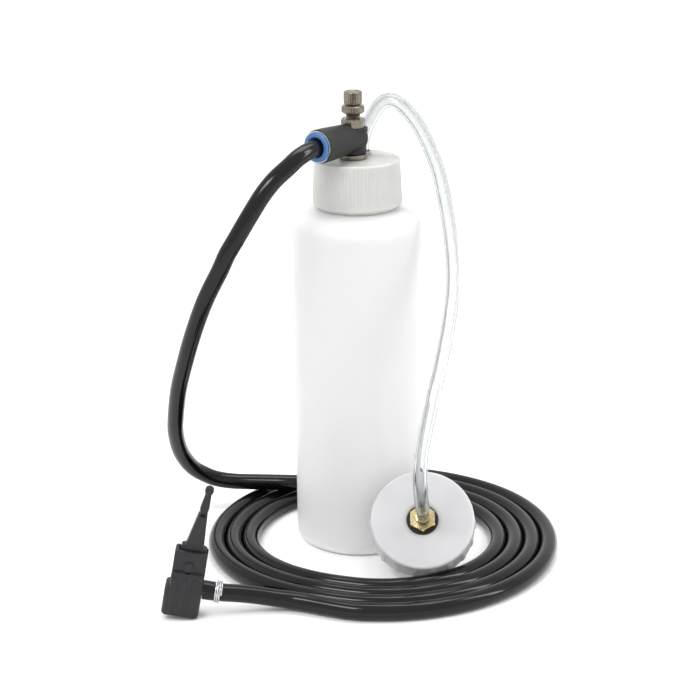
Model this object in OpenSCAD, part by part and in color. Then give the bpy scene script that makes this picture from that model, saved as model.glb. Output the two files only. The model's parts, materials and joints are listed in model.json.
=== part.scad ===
// Bottle-type pressure bleeder for hydraulic brakes: a natural HDPE bottle with a screw cap, a push-in
// flow-control elbow with an air hose and a clip-on tyre-valve chuck, and a clear fluid hose to a
// reservoir adaptor cap. Origin: centre of the bottle's foot. +Z is up, -Y is the front.

/* [Bottle] */
// Outside diameter of the bottle
bottle_d = 74; // [72:0.5:75]
// Height at which the straight side meets the shoulder
shoulder_z = 184.5; // [170:0.5:185]
// Blow-moulded wall thickness
bottle_wall = 1.3; // [1:0.1:2]
// Radius of the heel round the foot
heel_r = 12; // [8:1:14]

/* [Screw cap] */
// Diameter of the cap's top
cap_d = 48.4; // [48:0.1:49]
// Underside of the cap's skirt
cap_bottom_z = 201; // [201:0.1:202]
// Top face of the cap
cap_top_z = 228.6; // [228.4:0.1:228.8]

/* [Flow-control elbow] */
// Height of the hose socket's axis
socket_z = 240.4; // [240:0.1:240.8]
// How far the socket points to the left of straight forwards, in degrees
socket_turn = 38; // [36:1:40]
// Length of the socket from the swivel's axis to the face of the collet
socket_l = 33.6; // [33.4:0.1:34]
// Outside diameter of the socket near its mouth
socket_d = 19; // [18.8:0.1:19.2]
// Diameter of the upright swivel body
swivel_d = 14.6; // [14.4:0.1:14.8]

/* [Hoses] */
// Outside diameter of the black air hose
air_hose_d = 9.8; // [9.4:0.1:10]
// Outside diameter of the clear fluid hose
clear_hose_d = 8; // [7.6:0.1:8]
// Bore of the clear fluid hose
clear_hose_bore = 5; // [4:0.1:5.4]
// Radius of the coil's innermost turn, to the middle of the hose
coil_in_r = 69.5; // [69:0.5:70]
// Radius of the coil's outermost turn, to the middle of the hose
coil_out_r = 97; // [95:0.5:99]

/* [Reservoir adaptor cap] */
// Diameter of the adaptor's face
adaptor_d = 58.6; // [57:0.1:58.6]
// Depth from the face to the end of the threaded collar
adaptor_h = 18; // [17:0.5:18]
// Radius of the thread that screws on to the reservoir
adaptor_thread_r = 22.6; // [21:0.1:23]
// Number of grip lugs
adaptor_lugs = 18; // [12:1:36]
// How far the adaptor's face looks down from straight up, in degrees
adaptor_tip = 46; // [45:1:47]

/* [Tyre-valve chuck] */
// Radius of the hole that takes the tyre valve
valve_hole_r = 4.2; // [4:0.05:4.3]
// Lean of the standing chuck, in degrees
chuck_lean = 10.5; // [10:0.5:10.5]
// Thickness of the lever where it swings between the cheeks
lever_t = 5; // [4:0.1:5]

/* [Hidden] */
$fn = 64;
over = 0.02;             // how far a cutting shape reaches past a face
gap = 0.3;               // clearance between pieces that move apart
bottle_r = bottle_d / 2;
cap_r = cap_d / 2;
cap_roof = 2.1;
neck_r = 20.4;
neck_bore = 18.6;
neck_top_z = 224.9;
thread_bead = 0.8;
inner_z = 217;           // lower end of the two fittings inside the cap
nut_top_z = 225.7;       // top of the nuts that hold them
valve_x = -2;            // axis of the elbow and its needle
valve_y = -1;
gland_x = 3.2;           // axis of the clear hose where it enters the cap
gland_y = 12.2;
gland_r = 4.9;           // hole in the cap for the gland
stem_r = 5;
foot_z = 231.5;
swivel_top_z = 246.2;
oring_z = [233.6, 244.6];
hex_top_z = 251.2;
stem_top_z = 254.1;
needle_r = 2.95;
needle_seat_z = 235.6;
needle_oring_z = 248.9;
lock_z = 254.4;
lock_h = 4.2;
lock_r = 6.35;
knob_z = 259.1;
knob_h = 7.4;
knob_r = 5.07;
collet_r = 8.2;
air_r = air_hose_d / 2;
clear_r = clear_hose_d / 2;
coil_at = [12, -17.2, air_r];
adaptor_at = [34.9, -60.8, 34.8];
adaptor_turn = -2;
seat_z = -9.2;           // where the adaptor's gasket bears, along the adaptor's own axis
recess_z = -2.2;         // floor of the recess that takes the brass hexagon
barb_stem_r = 4;
barb_l = 15;
chuck_at = [-97.9, -106.8, 1.75];
outlet_z = 15.3;         // chuck heights are measured along its own axis from the mouth
cheek_y = 5;
chuck_top = 38;
slot_z = 20.9;
shoulder_up = 20;        // top of the wide bore; the plunger's neck goes on through a narrower one
chuck_bore = 5.7;
neck_bore_r = 4.5;
barb_bore = 1.8;
pin_at = [0.24, 0, 28.7];
pin_r = 1.7;
boss_r = 3.4;
lever_lean = 5.35;

// Where the air hose runs, from inside the push-in socket to the top of the coil.
air_drop = [[-13.1, -15.2, 240.4], [-22.9, -27.8, 240.2], [-31, -36.5, 237.5], [-37, -41.5, 233], [-44.5, -46, 227],
    [-51, -49, 219.5], [-56, -51, 212], [-61, -52, 204], [-66, -52, 195.5], [-71, -51, 187], [-75, -49, 178],
    [-84, -43, 159.5], [-91.5, -35, 139.5], [-98, -25, 118.5], [-104, -12, 96], [-108, 3, 72], [-109, 12, 59],
    [-108, 22, 45.5], [-105, 30, 35], [-101, 36, 27.5], [-95, 41, 21.5], [-88, 43.5, 17.5], [-77, 44.5, 15.3],
    [-60, 43.5, 15.1], [-42, 42, 15.1], [-30, 43, 14.3], [-19, 46, 12], [-8, 49.5, 8.5], [3, 51.5, 5.8],
    [13, 51.8, 5]];
// Where it leaves the coil for the chuck.
air_tail = [[-85.9, -106.8, 15], [-81.3, -106.8, 14.2], [-75.4, -106.8, 13.1], [-67, -105, 11.6], [-56, -103, 9.2],
    [-46, -101.8, 6.9], [-33.5, -102.6, 5.3], [-22.5, -107.6, 5]];
// Where the clear hose runs, from the gland in the cap to the barb on the adaptor.
clear_run = [[3.2, 12.2, 226], [3.2, 12.2, 234], [4.1, 11.7, 239.5], [6.6, 10.6, 246], [9.9, 9, 252.3],
    [13, 7.4, 256.9], [17, 5.9, 259.7], [21.5, 4, 259.5], [26, 2, 256.8], [31, 0.5, 251.5], [36, -1, 244],
    [41, -4, 233.5], [45, -8, 223], [47.5, -12, 212.5], [49.5, -17, 202], [51, -22, 192], [52, -28, 182],
    [52.5, -34, 172.5], [52, -40, 163], [50.5, -47, 153.5], [48.5, -54, 144], [46, -61, 135], [43.5, -68, 126],
    [40.5, -75, 117], [38, -81, 107.5], [35.5, -85, 97.5], [33.5, -86.5, 87], [32.6, -86, 76.5],
    [32.6, -84.3, 67], [33.1, -81, 58.5], [33.8, -76.5, 51], [34.5, -70.5, 44.2], [34.8, -63.7, 37.6]];

function unit(v) = v / norm(v);
function along(p, i) = unit(p[min(i + 1, len(p) - 1)] - p[max(i - 1, 0)]);
function ring(p, i, r, sides, side_of) =
    let (t = along(p, i), u = unit(cross(t, side_of)), v = cross(t, u))
    [for (k = [0:sides - 1]) p[i] + r * (cos(360 * k / sides) * u + sin(360 * k / sides) * v)];

// A round tube swept along the points p; side_of is a direction that the route never runs along.
module swept(p, r, sides, side_of) {
    rings = len(p);
    points = [for (i = [0:rings - 1]) each ring(p, i, r, sides, side_of)];
    walls = [for (i = [0:rings - 2], k = [0:sides - 1]) let (n = (k + 1) % sides)
        each [[i * sides + k, i * sides + n, (i + 1) * sides + n],
              [i * sides + k, (i + 1) * sides + n, (i + 1) * sides + k]]];
    near_end = [[for (k = [sides - 1:-1:0]) k]];
    far_end = [[for (k = [0:sides - 1]) (rings - 1) * sides + k]];
    polyhedron(points, concat(walls, near_end, far_end), convexity = 6);
}

// Points of an arc about c, from angle a to angle b.
function arc(c, r, a, b, n = 10) = [for (i = [0:n]) c + r * [cos(a + (b - a) * i / n), sin(a + (b - a) * i / n)]];

module tube(r_out, r_in, z0, z1) {
    translate([0, 0, z0]) difference() {
        cylinder(r = r_out, h = z1 - z0);
        translate([0, 0, -over]) cylinder(r = r_in, h = z1 - z0 + 2 * over);
    }
}
module torus(big_r, small_r) {
    rotate_extrude() translate([big_r, 0]) circle(r = small_r, $fn = 24);
}
module hex_prism(across_flats, z0, z1) {
    translate([0, 0, z0]) cylinder(r = across_flats / 2 / cos(30), h = z1 - z0, $fn = 6);
}
// A rod of length 2y, centred on the plane of the chuck's lever.
module cross_rod(r, y) {
    translate([0, y, 0]) rotate([90, 0, 0]) cylinder(r = r, h = 2 * y);
}
// A straight-knurled wheel standing on z = 0.
module knurled(r, h, grips) {
    edge = 0.6;
    cylinder(r1 = r - edge, r2 = r - 0.25, h = edge);
    translate([0, 0, edge - over]) cylinder(r = r - 0.25, h = h - 2 * edge + 2 * over);
    translate([0, 0, h - edge]) cylinder(r1 = r - 0.25, r2 = r - edge, h = edge);
    for (i = [0:grips - 1]) rotate([0, 0, 360 * i / grips]) translate([r - 0.6, -0.25, edge])
        cube([0.6, 0.5, h - 2 * edge]);
}
module at_valve() { translate([valve_x, valve_y, 0]) children(); }
module at_gland() { translate([gland_x, gland_y, 0]) children(); }
// Local +Z runs out along the push-in socket from the swivel's axis.
module at_socket() { translate([valve_x, valve_y, socket_z]) rotate([90, 0, -socket_turn]) children(); }
module at_adaptor() { translate(adaptor_at) rotate([0, 0, adaptor_turn]) rotate([adaptor_tip, 0, 0]) children(); }
module at_chuck() { translate(chuck_at) rotate([0, chuck_lean, 0]) children(); }
// Local +Z runs out along the chuck's hose barb.
module at_outlet() { at_chuck() translate([0, 0, outlet_z]) rotate([0, 90, 0]) children(); }

module bottle_outline(r, heel, neck, low, high) {
    shoulder_r = 14 - (bottle_r - r);
    polygon(concat([[0, low + 1.6], [r - heel - 4, low + 1.6], [r - heel - 1, low]],
        arc([r - heel, low + heel], heel, -90, 0),
        arc([r - shoulder_r, shoulder_z], shoulder_r, 0, 78),
        [[neck + 1.9, shoulder_z + shoulder_r + 1], [neck, shoulder_z + shoulder_r + 2.4], [neck, high], [0, high]]));
}
module bottle() {
    color("#eaeaea") {
        rotate_extrude($fn = 96) difference() {
            bottle_outline(bottle_r, heel_r, neck_r, 0, neck_top_z);
            bottle_outline(bottle_r - bottle_wall, heel_r - bottle_wall, neck_bore, bottle_wall, neck_top_z + 1);
        }
        for (z = [209, 213.5, 218]) translate([0, 0, z]) rotate_extrude()
            polygon([[neck_r - 0.5, -1], [neck_r + thread_bead, -0.3], [neck_r + thread_bead, 0.3], [neck_r - 0.5, 1]]);
    }
}

module bottle_cap() {
    skirt_in = neck_r + thread_bead + 0.5;
    color("#dcdcd6") difference() {
        rotate_extrude($fn = 96) polygon([[skirt_in, cap_bottom_z], [cap_r - 1.8, cap_bottom_z],
            [cap_r + 1.2, cap_bottom_z + 2.4], [cap_r, cap_top_z - 1], [cap_r - 0.3, cap_top_z - 0.3],
            [cap_r - 1, cap_top_z], [0, cap_top_z], [0, cap_top_z - cap_roof], [skirt_in, cap_top_z - cap_roof]]);
        at_valve() translate([0, 0, cap_top_z - 5]) cylinder(r = stem_r + 0.1, h = 10);
        at_gland() translate([0, 0, cap_top_z - 5]) cylinder(r = gland_r, h = 10);
    }
}
module cap_liner() {
    color("#c8c8c4") tube(neck_r + thread_bead + 0.4, neck_bore + 0.1, neck_top_z + gap, cap_top_z - cap_roof);
}

module valve_stem() {
    groove = 0.8;
    color("#b9a98a") at_valve() difference() {
        union() {
            translate([0, 0, inner_z]) cylinder(r = stem_r, h = hex_top_z - inner_z);
            translate([0, 0, cap_top_z + 0.05]) cylinder(r = 7.9, h = foot_z - 0.1 - cap_top_z - 0.05);
            rotate([0, 0, 22]) hex_prism(12.6, swivel_top_z + 0.2, hex_top_z);
            translate([0, 0, hex_top_z - over]) cylinder(r = 4, h = stem_top_z - hex_top_z + over);
        }
        for (z = oring_z) tube(stem_r + 1, stem_r - groove, z - 0.6, z + 0.6);
        translate([0, 0, inner_z - over]) cylinder(r = 2.2, h = 15);
        translate([0, 0, inner_z + 14]) cylinder(r = 1.5, h = 5);
        translate([0, 0, needle_seat_z - 1.1]) cylinder(r = needle_r + 0.05, h = 20);
        for (a = [0, 90]) rotate([90, 0, a - socket_turn]) translate([0, socket_z, -8]) cylinder(r = 1.9, h = 16);
    }
}
module valve_nut() {
    color("#c9bfa6") at_valve() difference() {
        hex_prism(12.8, 221.4, nut_top_z);
        translate([0, 0, 220]) cylinder(r = stem_r + 0.05, h = 8);
    }
}
module valve_washer() {
    color("#cfcfcf") at_valve() tube(7.1, stem_r + 0.05, nut_top_z + 0.05, cap_top_z - cap_roof - 0.05);
}

module elbow_body() {
    mouth = 31.5;
    color("#2d2d2f") difference() {
        union() {
            at_valve() rotate_extrude() polygon([[0, foot_z], [swivel_d / 2, foot_z],
                [swivel_d / 2, swivel_top_z - 3.7], [swivel_d / 2 + 0.9, swivel_top_z - 2.4],
                [swivel_d / 2 + 0.9, swivel_top_z], [0, swivel_top_z]]);
            at_socket() rotate_extrude() polygon([[0, 0], [socket_d / 2 - 1, 0], [socket_d / 2 - 1, 6],
                [socket_d / 2 - 0.1, 24], [socket_d / 2, 28], [socket_d / 2 - 0.05, mouth - 1],
                [socket_d / 2 - 0.2, mouth], [0, mouth]]);
        }
        at_valve() translate([0, 0, foot_z - 1]) cylinder(r = stem_r + 0.1, h = 20);
        at_valve() translate([0, 0, swivel_top_z]) cylinder(r = swivel_d / 2 + 1, h = 10);
        at_socket() {
            cylinder(r = 3.1, h = 20);
            translate([0, 0, 13]) cylinder(r = air_r + 0.15, h = 20);
            translate([0, 0, 16]) cylinder(r = 6.6, h = 20);
            translate([0, 0, 21]) cylinder(r = 7.6, h = 20);
            translate([0, 0, mouth - 2]) cylinder(r = 8.95, h = 5);
        }
    }
}
module swivel_orings() { color("#1c1c1c") at_valve() for (z = oring_z) translate([0, 0, z]) torus(4.66, 0.43); }
module tube_seal() { color("#1c1c1c") at_socket() tube(6.6, air_r + 0.1, 16, 18.4); }
module grab_ring() {
    color("#c7c9cc") at_socket() rotate_extrude()
        polygon([[air_r + 0.1, 20.2], [7.5, 21.2], [7.5, 21.6], [air_r + 0.1, 20.6]]);
}
module collet_ring() { color("#d6d9dd") at_socket() tube(8.92, collet_r + 0.2, socket_l - 4, socket_l - 1.4); }
module release_collet() {
    sleeve = 23.2;
    color("#5f93d0") at_socket() difference() {
        union() {
            translate([0, 0, sleeve]) cylinder(r = 7, h = socket_l - sleeve);
            translate([0, 0, socket_l - 2]) cylinder(r = collet_r, h = 1.4);
            translate([0, 0, socket_l - 0.6 - over]) cylinder(r1 = collet_r, r2 = collet_r - 0.6, h = 0.6 + over);
        }
        translate([0, 0, sleeve - 1]) cylinder(r = air_r + 0.17, h = 20);
        for (a = [0:60:300]) rotate([0, 0, a]) translate([4, -0.4, sleeve - 1]) cube([4, 0.8, 6]);
    }
}

module needle() {
    color("#b9a98a") at_valve() difference() {
        union() {
            translate([0, 0, needle_seat_z]) cylinder(r = needle_r, h = knob_z + 4 - needle_seat_z);
            translate([0, 0, needle_seat_z - 3]) cylinder(r1 = 0.6, r2 = 1.4, h = 3 + over);
        }
        tube(4, 2.2, needle_oring_z - 0.7, needle_oring_z + 0.7);
    }
}
module needle_oring() { color("#1c1c1c") at_valve() translate([0, 0, needle_oring_z]) torus(2.6, 0.38); }
module adjuster_knob() {
    color("#b5ad9c") at_valve() translate([0, 0, knob_z]) difference() {
        knurled(knob_r, knob_h, 28);
        translate([0, 0, -1]) cylinder(r = needle_r, h = 5);
    }
}
module lock_nut() {
    color("#a89c84") at_valve() translate([0, 0, lock_z]) difference() {
        knurled(lock_r, lock_h, 36);
        translate([0, 0, -1]) cylinder(r = needle_r + 0.08, h = lock_h + 2);
    }
}

module outlet_gland() {
    color("#d8d6cf") at_gland() difference() {
        union() {
            translate([0, 0, cap_top_z]) cylinder(r = 5.3, h = 1.6);
            translate([0, 0, inner_z]) cylinder(r = gland_r - 0.05, h = cap_top_z - inner_z + over);
        }
        translate([0, 0, 225.4]) cylinder(r = clear_r + 0.2, h = 10);
        translate([0, 0, inner_z - 1]) cylinder(r = clear_hose_bore / 2, h = 12);
        translate([0, 0, inner_z - 1]) cylinder(r = clear_r, h = 8);
    }
}
module gland_nut() {
    color("#d0cec8") at_gland() difference() {
        rotate([0, 0, -14.7]) hex_prism(10.8, 221.6, nut_top_z);
        translate([0, 0, 220]) cylinder(r = gland_r, h = 8);
    }
}
module gland_washer() {
    color("#3a3a3a") at_gland() tube(5.7, gland_r, nut_top_z + 0.05, cap_top_z - cap_roof - 0.05);
}
module dip_tube() { color("#e4e6e4") at_gland() tube(clear_r, clear_hose_bore / 2, 7, inner_z + 7); }

module clear_hose() { color("#dfe6e8") swept(clear_run, clear_r, 8, [1, -1, 0.1]); }
module black_hose_drop() { color("#141416") swept(air_drop, air_r, 12, [1, -1, 0.3]); }
module black_hose_tail() { color("#141416") swept(air_tail, air_r, 12, [0, 0, 1]); }
module black_hose_coil() {
    color("#141416") translate(coil_at) rotate_extrude($fn = 96) hull()
        for (r = [coil_in_r, coil_out_r]) translate([r, 0]) circle(r = air_r, $fn = 24);
}

module adaptor_cap() {
    rim = adaptor_d / 2;
    edge = 3;
    skirt_z = -13.5;
    collar_r = adaptor_thread_r + 3;
    color("#f0f2f4") at_adaptor() difference() {
        union() {
            rotate_extrude($fn = 96) polygon(concat([[0, -adaptor_h], [collar_r, -adaptor_h], [collar_r, -edge],
                [rim - 1.8, -edge - 0.6], [rim - 1.4, skirt_z], [rim + 0.4, skirt_z], [rim, -edge]],
                arc([rim - edge, -edge], edge, 0, 90, 5),
                [[10.7, 0], [9, -0.8], [9, recess_z], [0, recess_z]]));
            for (i = [0:adaptor_lugs - 1]) rotate([0, 0, 360 * i / adaptor_lugs])
                translate([rim - 0.7, 0, skirt_z]) cylinder(r1 = 1.6, r2 = 1.3, h = -skirt_z - 2.6, $fn = 24);
        }
        translate([0, 0, skirt_z]) tube(rim - 1.8, collar_r, -5, -skirt_z - edge - 1);
        translate([0, 0, -adaptor_h - over]) cylinder(r = adaptor_thread_r, h = adaptor_h - 10);
        translate([0, 0, seat_z - 1.55]) cylinder(r = adaptor_thread_r + 0.8, h = 1.55);
        translate([0, 0, seat_z - 1.55]) cylinder(r = adaptor_thread_r - 3, h = 5.95);
        translate([0, 0, -10]) cylinder(r = barb_stem_r + 0.05, h = 12);
    }
}
module adaptor_gasket() {
    color("#2a2a2a") at_adaptor()
        tube(adaptor_thread_r + 0.7, adaptor_thread_r - 3.4, seat_z - 1.45, seat_z - 0.05);
}
module brass_barb() {
    hex_top = 2.6;
    color("#c9a13f") at_adaptor() difference() {
        union() {
            rotate([0, 0, 30]) hex_prism(13.8, recess_z + 0.95, hex_top);
            translate([0, 0, -10.4]) cylinder(r = barb_stem_r, h = 9.5);
            translate([0, 0, hex_top - over]) cylinder(r = 3.3, h = 1.3);
            translate([0, 0, hex_top]) cylinder(r = 2.4, h = barb_l - hex_top);
            for (z = [5, 8.5, 12]) translate([0, 0, z]) cylinder(r1 = 3.1, r2 = 2.4, h = 3);
        }
        translate([0, 0, -12]) cylinder(r = 1.6, h = barb_l + 14);
    }
}
module hex_seal() {
    color("#1c1c1c") at_adaptor() tube(8.85, barb_stem_r + 0.1, recess_z + 0.05, recess_z + 0.9);
}
module barb_nut() {
    color("#c9a13f") at_adaptor() difference() {
        hex_prism(12, -9.7, -5.75);
        translate([0, 0, -12]) cylinder(r = barb_stem_r + 0.03, h = 10);
    }
}
module barb_washer() { color("#b8b8b8") at_adaptor() tube(8.5, barb_stem_r + 0.1, -5.7, -4.85); }

// A block with rounded upright corners; chamfer is taken off its lower edge.
module block(x0, x1, y, z0, z1, corner, chamfer) {
    hull() for (x = [x0 + corner, x1 - corner], side = [-1, 1]) translate([x, side * (y - corner), z0]) {
        cylinder(r1 = corner - chamfer, r2 = corner, h = chamfer + over, $fn = 32);
        translate([0, 0, chamfer]) cylinder(r = corner, h = z1 - z0 - chamfer, $fn = 32);
    }
}
module chuck_body() {
    slot = lever_t + 0.6;
    color("#333336") at_chuck() difference() {
        union() {
            block(-11, 9.3, 7.5, 0, 16.5, 3, 1.4);
            block(-8.7, 9.3, 7.3, 10, 24, 2.4, 0.1);
            block(-8.6, 9.2, cheek_y, 10, chuck_top, 1.6, 0.1);
            for (x = [-6.3, -0.9, 4.8]) translate([x, 0, 2]) block(-2.2, 2.2, 8, 0, 20, 0.8, 0.6);
            translate(pin_at) cross_rod(boss_r, cheek_y + 0.6);
        }
        translate([0, 0, -1]) cylinder(r = chuck_bore, h = shoulder_up + 1);
        translate([0, 0, shoulder_up - over]) cylinder(r = neck_bore_r, h = 3.5);
        translate([-6.6, -slot / 2, slot_z]) cube([30, slot, 30]);
        translate(pin_at) {
            cross_rod(pin_r, 10);
            for (side = [-1, 1]) translate([0, side * (cheek_y + 5), 0]) cross_rod(boss_r - 0.45, 5);
        }
        translate([0, 0, outlet_z]) rotate([0, 90, 0]) cylinder(r = 3.3, h = 20);
    }
}
module chuck_end_cap() { color("#3c3c40") at_chuck() tube(chuck_bore - 0.05, valve_hole_r, 0, 4); }
module chuck_seal() { color("#1c1c1c") at_chuck() tube(chuck_bore - 0.1, valve_hole_r + 0.2, 4.3, 9.8); }
module chuck_plunger() {
    plunger_z = 11.6;
    color("#c9a13f") at_chuck() difference() {
        union() {
            translate([0, 0, plunger_z]) cylinder(r = chuck_bore - 0.1, h = shoulder_up - 0.3 - plunger_z);
            translate([0, 0, plunger_z + 1]) cylinder(r = neck_bore_r - 0.1, h = 9.9);
            translate([0, 0, 6.5]) cylinder(r = 0.9, h = plunger_z - 6.5 + over);
        }
        translate([0, 0, outlet_z]) rotate([0, 90, 0]) cylinder(r = 2.4, h = 20);
        for (a = [45:90:315]) rotate([0, 0, a]) translate([2.6, 0, plunger_z - 1]) cylinder(r = 1.1, h = 5);
    }
}
module chuck_pin() {
    head = 0.4;
    color("#4a4a4e") at_chuck() translate(pin_at) {
        cross_rod(pin_r - 0.01, cheek_y + 0.2);
        for (side = [-1, 1]) translate([0, side * (cheek_y + 0.05 + head / 2), 0]) cross_rod(boss_r - 0.6, head / 2);
    }
}
module chuck_barb() { color("#c9a13f") at_outlet() tube(3.25, barb_bore, chuck_bore + 0.3, 24); }
// A flat outline in the lever's own plane, given thickness t along Y.
module lever_plate(t, outline) {
    translate([0, t / 2, 0]) rotate([90, 0, 0]) linear_extrude(t) polygon(outline);
}
// Distances along the lever are measured from its pin.
module chuck_lever() {
    hub_r = 6;
    collar = [7.6, 11.8];
    arm_top = 30.1;
    color("#333336") at_chuck() translate(pin_at) rotate([0, lever_lean, 0]) difference() {
        union() {
            cross_rod(hub_r, lever_t / 2);
            translate([5.1, 0, 0]) cross_rod(2.6, lever_t / 2);
            lever_plate(lever_t, [[-hub_r, 0], [hub_r, 0], [hub_r, collar[0]], [7, collar[0] + 0.8],
                [7, collar[1] - 0.8], [6.2, collar[1]], [4.9, collar[1] + 0.1], [4.6, 14], [-4.6, 14],
                [-4.9, collar[1] + 0.1], [-6.2, collar[1]], [-7, collar[1] - 0.8], [-7, collar[0] + 0.8],
                [-hub_r, collar[0]]]);
            lever_plate(7, [[-4.7, 13.3], [4.7, 13.3], [2.4, arm_top], [-2.4, arm_top]]);
            translate([0, 0, arm_top - 1]) cylinder(r = 1.9, h = 3);
            translate([0, 0, arm_top + 0.8]) cylinder(r1 = 2.1, r2 = 2.4, h = 3.4);
            translate([0, 0, arm_top + 4.2 - over]) cylinder(r1 = 2.4, r2 = 1.8, h = 6.9 + 2 * over);
            translate([0, 0, arm_top + 11.1]) cylinder(r = 1.8, h = 3);
            translate([0, 0, arm_top + 14.7]) sphere(r = 2.45, $fn = 32);
        }
        cross_rod(pin_r + 0.05, 10);
    }
}
module hose_clip() {
    color("#c4c7ca") at_outlet() for (i = [0:3]) translate([0, 0, 16.3 + 1.06 * i]) torus(air_r + 0.65, 0.5);
}

bottle();
bottle_cap();
cap_liner();
valve_stem();
valve_nut();
valve_washer();
elbow_body();
swivel_orings();
collet_ring();
release_collet();
grab_ring();
tube_seal();
needle();
needle_oring();
adjuster_knob();
lock_nut();
outlet_gland();
gland_nut();
gland_washer();
dip_tube();
clear_hose();
adaptor_cap();
adaptor_gasket();
brass_barb();
hex_seal();
barb_nut();
barb_washer();
black_hose_drop();
black_hose_coil();
black_hose_tail();
hose_clip();
chuck_body();
chuck_end_cap();
chuck_barb();
chuck_lever();
chuck_pin();
chuck_plunger();
chuck_seal();
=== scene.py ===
import bpy
import bmesh
import json
import math
from mathutils import Matrix, Vector, noise


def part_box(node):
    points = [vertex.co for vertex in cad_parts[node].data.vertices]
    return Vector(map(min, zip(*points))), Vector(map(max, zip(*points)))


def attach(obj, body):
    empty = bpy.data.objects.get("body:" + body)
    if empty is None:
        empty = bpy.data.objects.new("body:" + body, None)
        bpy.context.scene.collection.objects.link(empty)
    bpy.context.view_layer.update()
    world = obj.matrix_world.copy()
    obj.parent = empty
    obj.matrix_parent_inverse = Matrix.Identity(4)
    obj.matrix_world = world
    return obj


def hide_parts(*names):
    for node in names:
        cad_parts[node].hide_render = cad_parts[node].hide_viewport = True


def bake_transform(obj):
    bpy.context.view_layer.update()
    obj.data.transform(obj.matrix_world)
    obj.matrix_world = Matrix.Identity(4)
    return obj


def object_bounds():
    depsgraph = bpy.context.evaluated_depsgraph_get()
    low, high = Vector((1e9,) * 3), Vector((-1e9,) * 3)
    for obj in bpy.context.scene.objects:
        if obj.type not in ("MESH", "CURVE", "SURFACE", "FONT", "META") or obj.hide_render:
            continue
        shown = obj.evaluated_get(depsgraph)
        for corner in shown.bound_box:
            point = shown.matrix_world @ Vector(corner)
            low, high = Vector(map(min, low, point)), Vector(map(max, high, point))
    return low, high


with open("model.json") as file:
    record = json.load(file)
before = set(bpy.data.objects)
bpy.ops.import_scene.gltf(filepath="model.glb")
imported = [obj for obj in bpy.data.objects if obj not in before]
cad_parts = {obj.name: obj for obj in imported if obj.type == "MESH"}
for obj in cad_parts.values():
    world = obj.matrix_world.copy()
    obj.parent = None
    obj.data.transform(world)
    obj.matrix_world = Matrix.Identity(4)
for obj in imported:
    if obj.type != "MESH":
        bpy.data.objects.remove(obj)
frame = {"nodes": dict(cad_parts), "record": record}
cadLow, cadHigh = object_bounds()
record = frame["record"]
nodes = frame["nodes"]
mm = 0.001
mounts = {m["name"]: m for m in record["mounts"]}
joints = {j["name"]: j for j in record["behaviour"]["joints"]}
print("frame loaded,", len(nodes), "nodes")

cameraSetup = {"place": (-0.0049, -1.0, 0.449), "down": 18.46, "roll": -0.55, "lens": 93.55}
lightSetup = [  # name, place, looks at, width, height, watts
    ("keySoftbox", (-0.55, -0.75, 1.15), (0, 0, 0.1), 0.6, 0.3, 7.0),
    ("rightStrip", (0.95, -0.25, 0.75), (0, 0, 0.1), 0.16, 0.9, 4.0),
    ("topPanel", (0.1, 0.25, 1.3), (0, 0, 0), 0.9, 0.5, 6.0),
]
roomLight = {"colour": "FFFFFF", "strength": 1.06}
floorLook = {"side": 12.0, "colour": "F8F8F8"}


def hexToLinear(code, alpha=1.0):
    # sRGB hex to the linear values that the shaders take
    parts = [int(code[i:i + 2], 16) / 255 for i in (0, 2, 4)]
    linear = [p / 12.92 if p <= 0.04045 else ((p + 0.055) / 1.055) ** 2.4 for p in parts]
    return (*linear, alpha)


def makeCamera(setup):
    down, roll = math.radians(setup["down"]), math.radians(setup["roll"])
    ahead = Vector((0, math.cos(down), -math.sin(down)))
    right = Vector((1, 0, 0))
    top = right.cross(ahead)
    rolledRight = right * math.cos(roll) + top * math.sin(roll)
    rolledTop = top * math.cos(roll) - right * math.sin(roll)
    turn = Matrix((rolledRight, rolledTop, -ahead)).transposed().to_4x4()
    camera = bpy.data.objects.new("camera", bpy.data.cameras.new("camera"))
    camera.data.sensor_width = 36
    camera.data.lens = setup["lens"]
    camera.matrix_world = Matrix.Translation(setup["place"]) @ turn
    bpy.context.scene.collection.objects.link(camera)
    bpy.context.scene.camera = camera


def makeLights(setup):
    for name, place, target, width, height, watts in setup:
        light = bpy.data.lights.new(name, "AREA")
        light.shape = "RECTANGLE"
        light.size, light.size_y, light.energy = width, height, watts
        holder = bpy.data.objects.new(name, light)
        holder.location = place
        holder.rotation_euler = (Vector(target) - Vector(place)).to_track_quat("-Z", "Y").to_euler()
        bpy.context.scene.collection.objects.link(holder)
    world = bpy.data.worlds.new("studio")
    bpy.context.scene.world = world
    world.use_nodes = True
    sky = world.node_tree.nodes["Background"]
    sky.inputs["Color"].default_value = hexToLinear(roomLight["colour"])
    sky.inputs["Strength"].default_value = roomLight["strength"]


makeCamera(cameraSetup)
makeLights(lightSetup)
bpy.context.scene.view_settings.view_transform = "Standard"
print("camera and lights set")


def addNode(tree, kind, settings=None, links=None):
    # one shader node: settings are attributes or input values, links are input: (node, output)
    node = tree.nodes.new(kind)
    for key, value in (settings or {}).items():
        if isinstance(key, str) and key not in node.inputs:
            setattr(node, key, value)
        else:
            node.inputs[key].default_value = value
    for key, (source, output) in (links or {}).items():
        tree.links.new(source.outputs[output], node.inputs[key])
    return node


def startMaterial(name):
    material = bpy.data.materials.new(name)
    material.use_nodes = True
    material.node_tree.nodes.clear()
    return material, material.node_tree


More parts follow.
